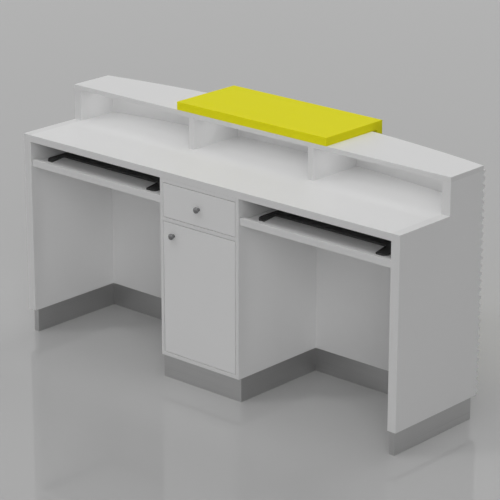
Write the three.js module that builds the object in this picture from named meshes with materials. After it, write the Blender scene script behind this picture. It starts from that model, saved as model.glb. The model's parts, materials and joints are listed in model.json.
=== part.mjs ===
// Reception desk: a staff worktop with a raised counter over pigeonholes, a drawer and cupboard
// pedestal, two sliding keyboard trays and a bowed, wave-faced customer side.
// Millimetres. +X runs along the desk, the staff sit on the -Y side, +Z is up.
import * as THREE from "three";

// Overall sizes
const LENGTH = 2000; // over both end panels
const END_DEPTH = 500; // staff edge to the counter's rear edge, at the ends
const BOW = 96; // how much deeper the counter is at its middle
const WORKTOP_HEIGHT = 880; // floor to the worktop's upper face
const PIGEONHOLE_HEIGHT = 132; // clear height between worktop and counter
const PIGEONHOLE_WIDTH = 610; // clear width of the middle pigeonhole
const COUNTER_SETBACK = 298; // staff edge to the counter's front edge
const CABINET_WIDTH = 420; // over the pedestal's sides
const ACCENT_WIDTH = 795; // width of the coloured top and front panel
const PLINTH_HEIGHT = 100;
const PLINTH_INSET = 15; // plinth behind the faces above it

// Thicknesses
const END_THICKNESS = 40;
const WORKTOP_THICKNESS = 30;
const COUNTER_THICKNESS = 20;
const DIVIDER_THICKNESS = 28;
const ACCENT_THICKNESS = 34;
const BOARD = 16; // carcass boards, door and drawer front
const SKIN = 16; // bent board behind the pigeonholes
const PLINTH_THICKNESS = 10;
const DRAWER_BOARD = 12; // drawer sides and back
const DRAWER_FLOOR = 6;

// Gaps
const FIT = 0.3; // between faces that are not square to each other, and in the slides
const FRONT_GAP = 2; // round the door and the drawer front
const TRAY_SIDE_GAP = 3; // between a tray and the walls of its bay

// Wave-faced cladding
const CLADDING = 6; // thickness in a trough
const WAVE_DEPTH = 13; // trough to crest
const WAVE_PITCH = 31.8; // crest to crest
const WAVE_POINTS = 6; // points along one wave
const CLADDING_TUCK = 60; // how far the cladding runs in behind the accent panel
const BOW_STEP = 80; // longest straight run along a bowed edge

// Accent battens and formers behind the bowed skin
const BATTEN_WIDTH = 40;
const BATTEN_GAP = 15; // batten to the cladding's end
const FORMER_INSET = 60; // former's end to the end panel

// Drawer and cupboard
const DRAWER_FRONT_HEIGHT = 140;
const DRAWER_BOX_RISE = 16; // drawer front's lower edge to the sides' lower edge
const DRAWER_BOX_DROP = 24; // drawer front's upper edge to the sides' upper edge
const DRAWER_FLOOR_RISE = 4; // sides' lower edge to the drawer floor
const DRAWER_BACK_GAP = 50; // drawer box to the back board
const TOP_RAIL_DEPTH = 60;
const SHELF_RISE = 280; // cupboard floor to the shelf's under face
const SHELF_SETBACK = 40; // staff edge to the shelf's front edge
const SHELF_BATTEN = 16;

// Knobs
const KNOB_REACH = 23;
const KNOB_RADIUS = 12.5;
const KNOB_STEM_RADIUS = 4;
const KNOB_HEAD_DEPTH = 13;
const KNOB_EDGE = 3; // radius of the head's front edge
const DOOR_KNOB_SIDE = 55; // knob to the door's free edge
const DOOR_KNOB_DROP = 50; // knob to the door's upper edge

// Hinges
const HINGE_INSET = 90; // hinge to the door's upper or lower edge
const CUP_RADIUS = 17.5;
const CUP_DEPTH = 4;
const CUP_EDGE = 5; // cup's rim to the door's hinged edge
const HINGE_ARM_LENGTH = 60;
const HINGE_ARM_WIDTH = 10;
const HINGE_ARM_HEIGHT = 14;
const HINGE_PLATE = 4; // thickness where the arm meets the cabinet side

// Keyboard trays
const TRAY_HEADROOM = 78; // worktop's under face to the tray's front rail
const TRAY_RAIL_HEIGHT = 29;
const TRAY_RAIL_DEPTH = 20;
const TRAY_LIP = 11; // how far the rail stands above the shelf
const TRAY_SETBACK = 6; // staff edge to the tray's front face
const TRAY_BACK_GAP = 68; // tray to the back board
const TRAY_SLIDE_GAP = 12; // front rail to the slides
const INSERT_THICKNESS = 8;
const INSERT_SETBACK = 25.5; // front rail to the insert's limbs
const INSERT_WIDTH = 646;
const INSERT_DEPTH = 215.5;
const INSERT_PLACE_LEFT = 23.5; // left insert to the left wall of its bay
const INSERT_PLACE_RIGHT = 37.5;
const INSERT_LEFT_ROOT = 28; // width of the left limb where it leaves the back band
const INSERT_LEFT_TIP = 44; // and at its front end
const INSERT_RIGHT_ROOT = 68;
const INSERT_RIGHT_TIP = 46;
const INSERT_TIP_FLAT = 4; // straight front edge of the left limb
const INSERT_RIGHT_CORNER = 20; // radius of the right limb's outer corner
const INSERT_LIMB_LENGTH = 89.5;
const INSERT_NOTCH_CORNER = 12; // radius of the inner corners

// Slides: a fixed channel and a runner whose tongue slides in it
const CHANNEL_WIDTH = 10;
const CHANNEL_WALL = 1.6;
const TRAY_CHANNEL_HEIGHT = 12;
const DRAWER_CHANNEL_HEIGHT = 35;
const RUNNER_FLANGE = 2;

// Places that follow from the sizes above
const halfLength = LENGTH / 2;
const innerHalf = halfLength - END_THICKNESS;
const cabinetHalf = CABINET_WIDTH / 2;
const cabinetInner = cabinetHalf - BOARD;
const bayWidth = innerHalf - cabinetHalf;
const worktopUnder = WORKTOP_HEIGHT - WORKTOP_THICKNESS;
const counterUnder = WORKTOP_HEIGHT + PIGEONHOLE_HEIGHT;
const counterTop = counterUnder + COUNTER_THICKNESS;
const bowRadius = (halfLength ** 2 + BOW ** 2) / (2 * BOW);
const bowApex = END_DEPTH + BOW;
const skinOuter = CLADDING + FIT; // set back from the counter's rear edge
const skinInner = skinOuter + SKIN;
const boardRear = skinInner + FIT;
const kneeDepth = bowAt(innerHalf) - boardRear - BOARD;
const claddingStart = ACCENT_WIDTH / 2 - CLADDING_TUCK;
const accentBack = bowApex + WAVE_DEPTH + FIT; // level with the furthest crest
const accentFace = accentBack + ACCENT_THICKNESS;
const drawerFrontTop = worktopUnder - BOARD - FRONT_GAP;
const drawerFrontFoot = drawerFrontTop - DRAWER_FRONT_HEIGHT;
const dividerTop = drawerFrontFoot - FRONT_GAP;
const cupboardFloor = PLINTH_HEIGHT + BOARD;
const doorFoot = cupboardFloor + FRONT_GAP;
const doorTop = dividerTop - BOARD - FRONT_GAP;
const frontHalf = cabinetInner - FRONT_GAP; // half the width of the door and drawer front
const runnerReach = CHANNEL_WIDTH + FIT + RUNNER_FLANGE;
const trayTop = worktopUnder - TRAY_HEADROOM;
const trayFloor = trayTop - TRAY_LIP;
const trayUnder = trayFloor - BOARD;
const trayRailBack = TRAY_SETBACK + TRAY_RAIL_DEPTH;
const trayBack = kneeDepth - TRAY_BACK_GAP;

const sides = [
  { name: "left", sign: -1 },
  { name: "right", sign: 1 },
];

// Finishes
const whiteLaminate = () => finish(0xe4e4e1, 0.45);
const yellowLaminate = () => finish(0xd8d22c, 0.4);
const brushedMetal = () => finish(0x8f8f8d, 0.35, 0.9);
const zincSteel = () => finish(0xb4b7ba, 0.4, 0.9);
const polishedSteel = () => finish(0xc9cacc, 0.15, 1);
const blackPlastic = () => finish(0x1b1b1c, 0.5);
const bareBoard = () => finish(0xb79a6c, 0.8);

function finish(color, roughness, metalness = 0) {
  return new THREE.MeshStandardMaterial({ color, roughness, metalness });
}

// The counter's rear edge, an arc through both ends and the apex.
function bowAt(x) {
  return bowApex - bowRadius + Math.sqrt(bowRadius ** 2 - x ** 2);
}

// Where the bow, set back by some depth, comes forward to y.
function bowReach(y, setback) {
  return Math.sqrt(bowRadius ** 2 - (y + setback - bowApex + bowRadius) ** 2);
}

// Points along the bow, set back from the counter's rear edge.
function bowLine(from, to, setback) {
  const steps = Math.ceil(Math.abs(to - from) / BOW_STEP);
  return Array.from({ length: steps + 1 }, (_, i) => {
    const x = from + ((to - from) * i) / steps;
    return new THREE.Vector2(x, bowAt(x) - setback);
  });
}

function addMesh(parent, name, geometry, material) {
  const mesh = new THREE.Mesh(geometry, material);
  mesh.name = name;
  parent.add(mesh);
  return mesh;
}

// A square-edged board, from the lowest to the highest value on each axis.
function addBoard(parent, name, material, x, y, z) {
  const spans = [x, y, z];
  const geometry = new THREE.BoxGeometry(...spans.map(([low, high]) => high - low));
  const board = addMesh(parent, name, geometry, material);
  board.position.set(...spans.map(([low, high]) => (low + high) / 2));
  return board;
}

// A board cut to an outline seen from above.
function addPlate(parent, name, material, outline, [low, high]) {
  const shape = outline instanceof THREE.Shape ? outline : new THREE.Shape(outline);
  const geometry = new THREE.ExtrudeGeometry(shape, {
    depth: high - low,
    bevelEnabled: false,
    curveSegments: 6,
  });
  const plate = addMesh(parent, name, geometry, material);
  plate.position.z = low;
  return plate;
}

// An outline with a straight front edge and a bowed rear edge.
function bowedBoard(left, right, front, setback) {
  return [new THREE.Vector2(left, front), new THREE.Vector2(right, front), ...bowLine(right, left, setback)];
}

// An outline between two bowed edges.
function bowedStrip(left, right, innerSetback, outerSetback) {
  return [...bowLine(left, right, innerSetback), ...bowLine(right, left, outerSetback)];
}

// A section seen from the desk's end, in Y and Z, drawn out along X.
function drawnAlongX(section, left, right, steps) {
  const geometry = new THREE.ExtrudeGeometry(new THREE.Shape(section), {
    depth: right - left,
    steps,
    bevelEnabled: false,
  });
  const [x, y, z] = [0, 1, 2].map((i) => new THREE.Vector3().setComponent(i, 1));
  geometry.applyMatrix4(new THREE.Matrix4().makeBasis(y, z, x));
  return geometry.translate(left, 0, 0);
}

// Moves the points that lie behind a depth so that they follow the bow.
function followBow(geometry, behind) {
  const points = geometry.getAttribute("position");
  for (let i = 0; i < points.count; i++)
    if (points.getY(i) > behind)
      points.setY(i, points.getY(i) + bowAt(points.getX(i)) - END_DEPTH);
  return geometry;
}

// A section seen from the staff side, in X and Z, drawn out along Y.
function addDrawnAlongY(parent, name, material, section, [front, back]) {
  const geometry = new THREE.ExtrudeGeometry(new THREE.Shape(section), {
    depth: back - front,
    bevelEnabled: false,
  });
  const drawn = addMesh(parent, name, geometry, material);
  drawn.rotation.x = Math.PI / 2;
  drawn.position.y = back;
  return drawn;
}

const points = (list) => list.map(([a, b]) => new THREE.Vector2(a, b));

// Fixed channel on a wall at x, open on the side that it faces.
function addChannel(parent, name, wall, facing, foot, height, span) {
  const inner = CHANNEL_WALL * facing;
  const mouth = CHANNEL_WIDTH * facing;
  const section = points([
    [0, 0],
    [mouth, 0],
    [mouth, CHANNEL_WALL],
    [inner, CHANNEL_WALL],
    [inner, height - CHANNEL_WALL],
    [mouth, height - CHANNEL_WALL],
    [mouth, height],
    [0, height],
  ]);
  const channel = addDrawnAlongY(parent, name, zincSteel(), section, span);
  channel.position.x = wall;
  channel.position.z = foot;
}

// Runner whose tongue lies in the channel and whose flange carries the drawer or tray.
function addRunner(parent, name, wall, facing, foot, height, flangeTop, span) {
  const tip = (CHANNEL_WALL + FIT) * facing;
  const root = (CHANNEL_WIDTH + FIT) * facing;
  const back = runnerReach * facing;
  const tongueFoot = CHANNEL_WALL + FIT;
  const tongueTop = height - CHANNEL_WALL - FIT;
  const section = points([
    [tip, tongueFoot],
    [root, tongueFoot],
    [root, 0],
    [back, 0],
    [back, flangeTop],
    [root, flangeTop],
    [root, tongueTop],
    [tip, tongueTop],
  ]);
  const runner = addDrawnAlongY(parent, name, zincSteel(), section, span);
  runner.position.x = wall;
  runner.position.z = foot;
}

// Turned knob that stands out from a front face towards the staff.
function addKnob(parent, name, x, z) {
  const neck = KNOB_REACH - KNOB_HEAD_DEPTH;
  const profile = new THREE.Path();
  profile.moveTo(0, 0);
  profile.lineTo(KNOB_STEM_RADIUS, 0);
  profile.lineTo(KNOB_STEM_RADIUS, neck);
  profile.lineTo(KNOB_RADIUS, neck + KNOB_EDGE);
  profile.lineTo(KNOB_RADIUS, KNOB_REACH - KNOB_EDGE);
  profile.quadraticCurveTo(KNOB_RADIUS, KNOB_REACH, KNOB_RADIUS - KNOB_EDGE, KNOB_REACH);
  profile.lineTo(0, KNOB_REACH);
  const knob = addMesh(parent, name, new THREE.LatheGeometry(profile.getPoints(6), 24), polishedSteel());
  knob.rotation.x = Math.PI;
  knob.position.set(x, 0, z);
}

function addShell(desk) {
  const endSection = points([
    [0, PLINTH_HEIGHT],
    [0, WORKTOP_HEIGHT],
    [COUNTER_SETBACK, WORKTOP_HEIGHT],
    [COUNTER_SETBACK, counterUnder],
    [END_DEPTH - skinOuter, counterUnder],
    [END_DEPTH - skinOuter, PLINTH_HEIGHT],
  ]);
  for (const { name, sign } of sides) {
    const [left, right] = [innerHalf * sign, halfLength * sign].sort((a, b) => a - b);
    const panel = followBow(drawnAlongX(endSection, left, right, 1), COUNTER_SETBACK);
    addMesh(desk, `end_panel_${name}`, panel, whiteLaminate());

    const [dividerLeft, dividerRight] = [PIGEONHOLE_WIDTH / 2, PIGEONHOLE_WIDTH / 2 + DIVIDER_THICKNESS]
      .map((x) => x * sign)
      .sort((a, b) => a - b);
    const divider = bowedBoard(dividerLeft, dividerRight, COUNTER_SETBACK, boardRear);
    addPlate(desk, `pigeonhole_divider_${name}`, whiteLaminate(), divider, [WORKTOP_HEIGHT, counterUnder]);
  }
  const worktop = bowedBoard(-innerHalf, innerHalf, 0, boardRear);
  addPlate(desk, "worktop", whiteLaminate(), worktop, [worktopUnder, WORKTOP_HEIGHT]);
  const counter = bowedBoard(-halfLength, halfLength, COUNTER_SETBACK, 0);
  addPlate(desk, "counter_top", whiteLaminate(), counter, [counterUnder, counterTop]);
  const back = [kneeDepth, kneeDepth + BOARD];
  addBoard(desk, "back_board", whiteLaminate(), [-innerHalf, innerHalf], back, [PLINTH_HEIGHT, worktopUnder]);
}

// Section of the cladding: flat at the back, waves with a crest at the top in front.
function waveSection() {
  const height = counterUnder - PLINTH_HEIGHT;
  const step = WAVE_PITCH / WAVE_POINTS;
  const drops = Array.from({ length: Math.ceil(height / step) }, (_, i) => i * step);
  const wave = [...drops, height].map((drop) => {
    const rise = (1 + Math.cos((2 * Math.PI * drop) / WAVE_PITCH)) / 2;
    return [END_DEPTH + WAVE_DEPTH * rise, counterUnder - drop];
  });
  const rear = END_DEPTH - CLADDING;
  return points([[rear, PLINTH_HEIGHT], [rear, counterUnder], ...wave]);
}

function addCustomerSide(desk) {
  const skin = bowedStrip(-innerHalf, innerHalf, skinInner, skinOuter);
  addPlate(desk, "bent_skin", whiteLaminate(), skin, [PLINTH_HEIGHT, counterUnder]);

  const formerHalf = innerHalf - FORMER_INSET;
  const former = bowedBoard(-formerHalf, formerHalf, kneeDepth + BOARD, boardRear);
  const middle = (PLINTH_HEIGHT + worktopUnder - BOARD) / 2;
  addPlate(desk, "former_bottom", bareBoard(), former, [PLINTH_HEIGHT, cupboardFloor]);
  addPlate(desk, "former_middle", bareBoard(), former, [middle, middle + BOARD]);

  const section = waveSection();
  const steps = Math.ceil((halfLength - claddingStart) / BOW_STEP);
  const battenEnd = claddingStart - BATTEN_GAP;
  for (const { name, sign } of sides) {
    const [left, right] = [claddingStart * sign, halfLength * sign].sort((a, b) => a - b);
    const cladding = followBow(drawnAlongX(section, left, right, steps), 0);
    addMesh(desk, `wave_panel_${name}`, cladding, whiteLaminate());

    const [from, to] = [(battenEnd - BATTEN_WIDTH) * sign, battenEnd * sign].sort((a, b) => a - b);
    const batten = [new THREE.Vector2(to, accentBack), new THREE.Vector2(from, accentBack)];
    const outline = [...batten, ...bowLine(from, to, CLADDING)];
    addPlate(desk, `accent_batten_${name}`, bareBoard(), outline, [PLINTH_HEIGHT, counterUnder]);
  }

  const width = [-ACCENT_WIDTH / 2, ACCENT_WIDTH / 2];
  addBoard(desk, "accent_front", yellowLaminate(), width, [accentBack, accentFace], [PLINTH_HEIGHT, counterTop]);
  const topSpan = [counterTop, counterTop + ACCENT_THICKNESS];
  addBoard(desk, "accent_top", yellowLaminate(), width, [COUNTER_SETBACK, accentFace], topSpan);
}

function addPlinth(desk) {
  const rise = [0, PLINTH_HEIGHT];
  const bowInner = PLINTH_INSET + PLINTH_THICKNESS;
  for (const { name, sign } of sides) {
    const [left, right] = [innerHalf * sign, (halfLength - PLINTH_INSET) * sign].sort((a, b) => a - b);
    const end = bowedBoard(left, right, PLINTH_INSET, PLINTH_INSET);
    addPlate(desk, `plinth_${name}`, brushedMetal(), end, rise);

    const span = [cabinetHalf * sign, (cabinetHalf - PLINTH_THICKNESS) * sign].sort((a, b) => a - b);
    addBoard(desk, `plinth_cabinet_${name}`, brushedMetal(), span, [bowInner, kneeDepth], rise);
  }
  const frontSpan = [PLINTH_INSET, bowInner];
  addBoard(desk, "plinth_cabinet_front", brushedMetal(), [-cabinetHalf, cabinetHalf], frontSpan, rise);
  const backSpan = [kneeDepth, kneeDepth + PLINTH_THICKNESS];
  const bowedHalf = Math.min(innerHalf, bowReach(backSpan[1] + FIT, bowInner));
  const bowed = bowedStrip(-bowedHalf, bowedHalf, bowInner, PLINTH_INSET);
  addPlate(desk, "plinth_bowed", brushedMetal(), bowed, rise);
  addBoard(desk, "plinth_back", brushedMetal(), [-innerHalf, innerHalf], backSpan, rise);
}

function addCabinet(desk) {
  const inside = [-cabinetInner, cabinetInner];
  const depth = [0, kneeDepth];
  const shelfFoot = cupboardFloor + SHELF_RISE;
  const shelfDepth = [SHELF_SETBACK, kneeDepth];
  for (const { name, sign } of sides) {
    const span = [cabinetInner * sign, cabinetHalf * sign].sort((a, b) => a - b);
    addBoard(desk, `cabinet_side_${name}`, whiteLaminate(), span, depth, [PLINTH_HEIGHT, worktopUnder]);

    const battenSpan = [(cabinetInner - SHELF_BATTEN) * sign, cabinetInner * sign].sort((a, b) => a - b);
    const battenRise = [shelfFoot - SHELF_BATTEN, shelfFoot];
    addBoard(desk, `shelf_batten_${name}`, whiteLaminate(), battenSpan, shelfDepth, battenRise);

    const channelFoot = (drawerFrontTop + drawerFrontFoot - DRAWER_CHANNEL_HEIGHT) / 2;
    const channelSpan = [BOARD, kneeDepth - DRAWER_BACK_GAP];
    const wall = cabinetInner * sign;
    addChannel(desk, `drawer_channel_${name}`, wall, -sign, channelFoot, DRAWER_CHANNEL_HEIGHT, channelSpan);
  }
  addBoard(desk, "cabinet_bottom", whiteLaminate(), inside, depth, [PLINTH_HEIGHT, cupboardFloor]);
  addBoard(desk, "cabinet_divider", whiteLaminate(), inside, depth, [dividerTop - BOARD, dividerTop]);
  const railSpan = [worktopUnder - BOARD, worktopUnder];
  addBoard(desk, "cabinet_top_rail", whiteLaminate(), inside, [0, TOP_RAIL_DEPTH], railSpan);
  addBoard(desk, "cabinet_shelf", whiteLaminate(), inside, shelfDepth, [shelfFoot, shelfFoot + BOARD]);
}

function addDrawer(desk) {
  const drawer = new THREE.Group();
  desk.add(drawer);
  const boxFoot = drawerFrontFoot + DRAWER_BOX_RISE;
  const boxRise = [boxFoot, drawerFrontTop - DRAWER_BOX_DROP];
  const boxOuter = cabinetInner - runnerReach;
  const boxInner = boxOuter - DRAWER_BOARD;
  const boxBack = kneeDepth - DRAWER_BACK_GAP;
  const channelFoot = (drawerFrontTop + drawerFrontFoot - DRAWER_CHANNEL_HEIGHT) / 2;
  for (const { name, sign } of sides) {
    const span = [boxInner * sign, boxOuter * sign].sort((a, b) => a - b);
    addBoard(drawer, `drawer_side_${name}`, whiteLaminate(), span, [BOARD, boxBack], boxRise);
    const wall = cabinetInner * sign;
    const height = DRAWER_CHANNEL_HEIGHT;
    addRunner(drawer, `drawer_runner_${name}`, wall, -sign, channelFoot, height, height, [BOARD, boxBack]);
  }
  const inside = [-boxInner, boxInner];
  const floorFoot = boxFoot + DRAWER_FLOOR_RISE;
  const floorSpan = [BOARD, boxBack - DRAWER_BOARD];
  addBoard(drawer, "drawer_back", whiteLaminate(), inside, [boxBack - DRAWER_BOARD, boxBack], boxRise);
  addBoard(drawer, "drawer_floor", whiteLaminate(), inside, floorSpan, [floorFoot, floorFoot + DRAWER_FLOOR]);
  const frontRise = [drawerFrontFoot, drawerFrontTop];
  addBoard(drawer, "drawer_front", whiteLaminate(), [-frontHalf, frontHalf], [0, BOARD], frontRise);
  addKnob(drawer, "drawer_knob", 0, (drawerFrontFoot + drawerFrontTop) / 2);
}

// The door's group stands on its hinge axis, in the gap at the door's right-hand front edge.
function addDoor(desk) {
  const hingeX = cabinetInner - FRONT_GAP / 2;
  const door = new THREE.Group();
  door.position.x = hingeX;
  desk.add(door);
  const width = [-frontHalf - hingeX, frontHalf - hingeX];
  addBoard(door, "door_panel", whiteLaminate(), width, [0, BOARD], [doorFoot, doorTop]);
  addKnob(door, "door_knob", width[0] + DOOR_KNOB_SIDE, doorTop - DOOR_KNOB_DROP);

  const hinges = [
    { name: "upper", height: doorTop - HINGE_INSET },
    { name: "lower", height: doorFoot + HINGE_INSET },
  ];
  const armFront = BOARD + CUP_DEPTH + FIT;
  const armBack = armFront + HINGE_ARM_LENGTH;
  const armOutline = points([
    [cabinetInner, armFront],
    [cabinetInner, armBack],
    [cabinetInner - HINGE_PLATE, armBack],
    [cabinetInner - HINGE_ARM_WIDTH, armBack - HINGE_ARM_WIDTH],
    [cabinetInner - HINGE_ARM_WIDTH, armFront],
  ]);
  for (const { name, height } of hinges) {
    const cup = new THREE.CylinderGeometry(CUP_RADIUS, CUP_RADIUS, CUP_DEPTH, 24);
    const mesh = addMesh(door, `hinge_cup_${name}`, cup, zincSteel());
    mesh.position.set(width[1] - CUP_EDGE - CUP_RADIUS, BOARD + CUP_DEPTH / 2, height);
    const rise = [height - HINGE_ARM_HEIGHT / 2, height + HINGE_ARM_HEIGHT / 2];
    addPlate(desk, `hinge_arm_${name}`, zincSteel(), armOutline, rise);
  }
}

// Outline of the black insert: a band at the back and two limbs that lean towards the right at their fronts.
function insertOutline(left) {
  const right = left + INSERT_WIDTH;
  const front = trayRailBack + INSERT_SETBACK;
  const back = front + INSERT_DEPTH;
  const notchBack = front + INSERT_LIMB_LENGTH;
  const leftTip = new THREE.Vector2(left + INSERT_LEFT_TIP, front);
  const leftRoot = new THREE.Vector2(left + INSERT_LEFT_ROOT, notchBack);
  const rightRoot = new THREE.Vector2(right - INSERT_RIGHT_ROOT, notchBack);
  const rightTip = new THREE.Vector2(right - INSERT_RIGHT_TIP, front);
  const towards = (from, to) => from.clone().add(to.clone().sub(from).setLength(INSERT_NOTCH_CORNER));
  const r = INSERT_LEFT_TIP - INSERT_TIP_FLAT;
  const e = INSERT_RIGHT_CORNER;
  const quarter = Math.PI / 2;
  const curveInto = (shape, corner, next) => {
    const end = towards(corner, next);
    shape.quadraticCurveTo(corner.x, corner.y, end.x, end.y);
  };
  const shape = new THREE.Shape();
  shape.moveTo(left + r, front);
  shape.lineTo(leftTip.x, leftTip.y);
  shape.lineTo(...towards(leftRoot, leftTip).toArray());
  curveInto(shape, leftRoot, rightRoot);
  shape.lineTo(...towards(rightRoot, leftRoot).toArray());
  curveInto(shape, rightRoot, rightTip);
  shape.lineTo(rightTip.x, rightTip.y);
  shape.lineTo(right - e, front);
  shape.absarc(right - e, front + e, e, -quarter, 0, false);
  shape.lineTo(right, back - r);
  shape.absarc(right - r, back - r, r, 0, quarter, false);
  shape.lineTo(left + r, back);
  shape.absarc(left + r, back - r, r, quarter, 2 * quarter, false);
  shape.lineTo(left, front + r);
  shape.absarc(left + r, front + r, r, 2 * quarter, 3 * quarter, false);
  return shape;
}

// Shelf behind a rail that stands above it, seen from its end.
function traySection() {
  const railFoot = trayTop - TRAY_RAIL_HEIGHT;
  return points([
    [TRAY_SETBACK, railFoot],
    [TRAY_SETBACK, trayTop],
    [trayRailBack, trayTop],
    [trayRailBack, trayFloor],
    [trayBack, trayFloor],
    [trayBack, trayUnder],
    [trayRailBack, trayUnder],
    [trayRailBack, railFoot],
  ]);
}

// Each tray is built from its bay's left wall.
function addTray(desk, name, bayLeft, insertPlace) {
  const tray = new THREE.Group();
  tray.position.x = bayLeft;
  desk.add(tray);
  const shelf = drawnAlongX(traySection(), TRAY_SIDE_GAP, bayWidth - TRAY_SIDE_GAP, 1);
  addMesh(tray, `tray_shelf_${name}`, shelf, whiteLaminate());
  const insertSpan = [trayFloor, trayFloor + INSERT_THICKNESS];
  addPlate(tray, `tray_insert_${name}`, blackPlastic(), insertOutline(insertPlace), insertSpan);

  const height = TRAY_CHANNEL_HEIGHT;
  const channelFoot = trayUnder - FIT - height;
  const span = [trayRailBack + TRAY_SLIDE_GAP, trayBack];
  const walls = [
    { end: "left", wall: 0, facing: 1 },
    { end: "right", wall: bayWidth, facing: -1 },
  ];
  for (const { end, wall, facing } of walls) {
    const runner = `tray_runner_${name}_${end}`;
    addRunner(tray, runner, wall, facing, channelFoot, height, trayUnder - channelFoot, span);
    addChannel(desk, `tray_channel_${name}_${end}`, bayLeft + wall, facing, channelFoot, height, span);
  }
}

const desk = new THREE.Group();
desk.name = "reception_desk";
addShell(desk);
addCustomerSide(desk);
addPlinth(desk);
addCabinet(desk);
addDrawer(desk);
addDoor(desk);
addTray(desk, "left", -innerHalf, INSERT_PLACE_LEFT);
addTray(desk, "right", cabinetHalf, INSERT_PLACE_RIGHT);
// The frame's origin lies on the floor under the middle of the whole box, knobs included.
desk.position.y = (KNOB_REACH - accentFace) / 2;

export default desk;
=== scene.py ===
"""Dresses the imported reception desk: eased boards, metalwork, moulded trays, finishes and a plain stage."""

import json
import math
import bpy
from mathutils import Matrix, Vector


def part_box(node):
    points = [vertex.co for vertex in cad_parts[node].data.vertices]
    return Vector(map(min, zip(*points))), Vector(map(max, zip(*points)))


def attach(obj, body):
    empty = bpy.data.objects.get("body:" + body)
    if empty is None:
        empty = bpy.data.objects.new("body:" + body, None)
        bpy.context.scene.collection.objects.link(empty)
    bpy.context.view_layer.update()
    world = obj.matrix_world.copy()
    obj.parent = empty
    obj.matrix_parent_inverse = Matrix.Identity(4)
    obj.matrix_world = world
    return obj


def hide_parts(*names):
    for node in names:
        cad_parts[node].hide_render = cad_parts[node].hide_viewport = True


bl_info = {
    "name": "Reception Desk Dressing",
    "version": (1, 0, 0),
    "blender": (4, 5, 0),
    "location": "View3D > Sidebar > Reception Desk",
    "description": "Builds the desk's finished boards, metalwork and trays around the packed frame",
    "category": "Object",
}

import bmesh
import bpy
from bpy.props import FloatProperty, FloatVectorProperty, PointerProperty
from mathutils import Vector
from mathutils.bvhtree import BVHTree

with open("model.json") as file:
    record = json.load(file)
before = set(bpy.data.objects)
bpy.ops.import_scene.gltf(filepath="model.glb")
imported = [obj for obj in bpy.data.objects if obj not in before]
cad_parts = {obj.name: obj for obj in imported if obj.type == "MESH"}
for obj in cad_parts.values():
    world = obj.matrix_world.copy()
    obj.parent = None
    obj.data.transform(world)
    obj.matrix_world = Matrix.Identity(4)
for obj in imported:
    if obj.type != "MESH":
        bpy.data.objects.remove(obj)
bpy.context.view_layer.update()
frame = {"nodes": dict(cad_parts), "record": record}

RECORD = frame["record"]
BODY_OF = {node: body for body, nodes in RECORD["behaviour"]["bodies"].items() for node in nodes}
SLOT_OF = {row["node"]: row["material_slot"] for row in RECORD["subparts"]}
SIDES = {"left": -1, "right": 1}
MM = 0.001
X_AXIS, Y_AXIS, Z_AXIS = Vector((1, 0, 0)), Vector((0, 1, 0)), Vector((0, 0, 1))

MERGE_DISTANCE = 0.002 * MM
FLAT_ANGLE = math.radians(0.2)  # faces nearer than this to one plane become one face
BOW_ANGLE = math.radians(20)  # facets that meet at less than this belong to one curve
SHARP_ANGLE = math.radians(30)
EDGE_SAMPLES = (0.1, 0.3, 0.5, 0.7, 0.9)
EDGE_PROBE = 1.0 * MM  # how far from an edge a neighbouring board is looked for
EDGING_LEAN = 0.5  # a face is edging if its normal has less than this along the board's thickness

WORKTOP_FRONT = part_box("worktop")[0].y
COUNTER_LOW, COUNTER_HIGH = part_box("counter_top")


def length(name, description, default, **limits):
    """A length that a user may change."""
    return FloatProperty(name=name, description=description, default=default, unit="LENGTH", **limits)


def paint(name, description, default):
    """A colour that a user may change."""
    return FloatVectorProperty(
        name=name, description=description, default=default, subtype="COLOR", min=0, max=1
    )


def strength(name, description, default, **limits):
    """A lamp's or backdrop's brightness."""
    return FloatProperty(name=name, description=description, default=default, min=0, **limits)


class DeskSizes(bpy.types.PropertyGroup):
    """Sizes of the detail that the dressing adds to the desk."""

    board_edge: length(
        "Board Edge", "Rounding of a board's exposed edges", 0.8 * MM, min=0.1 * MM, max=4 * MM
    )
    accent_edge: length(
        "Accent Edge", "Rounding of the coloured panel's edges", 1.2 * MM, min=0.1 * MM, max=6 * MM
    )
    metal_edge: length(
        "Metal Edge",
        "Rounding of the plinth's and channels' edges",
        0.4 * MM,
        min=0.05 * MM,
        max=0.7 * MM,
    )
    bow: length("Bow", "How much deeper the counter is at its middle than at its ends", 96 * MM)
    wave_depth: length("Wave Depth", "Trough to crest of the cladding", 13 * MM)
    wave_pitch: length("Wave Pitch", "Crest to crest of the cladding", 31.8 * MM)
    cladding: length("Cladding", "Thickness of the cladding in a trough", 6 * MM)
    tray_rail: length("Tray Rail", "Depth of the rail along a tray's front", 20 * MM)
    stop_depth: length("Stop Depth", "Depth of the keyboard stop behind the rail", 8 * MM)
    insert_left_root: length(
        "Left Root", "Width of the insert's left limb where it leaves the band", 28 * MM
    )
    insert_left_tip: length("Left Tip", "Width of the insert's left limb at its front end", 44 * MM)
    insert_right_root: length(
        "Right Root", "Width of the insert's right limb where it leaves the band", 68 * MM
    )
    insert_right_tip: length("Right Tip", "Width of the insert's right limb at its front end", 46 * MM)
    insert_limb_length: length(
        "Limb Length", "How far the insert's limbs reach towards the staff", 89.5 * MM
    )
    insert_corner: length(
        "Insert Corner", "Radius of the insert's back corners and of its left limb's end", 40 * MM
    )
    insert_right_corner: length("Right Corner", "Radius of the right limb's outer corner", 20 * MM)
    insert_notch_corner: length(
        "Notch Corner", "Reach of the curves inside the insert's notch", 12 * MM
    )
    screw_radius: length(
        "Screw Head", "Radius of the larger screw heads", 3.4 * MM, min=1 * MM, max=6 * MM
    )


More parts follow.
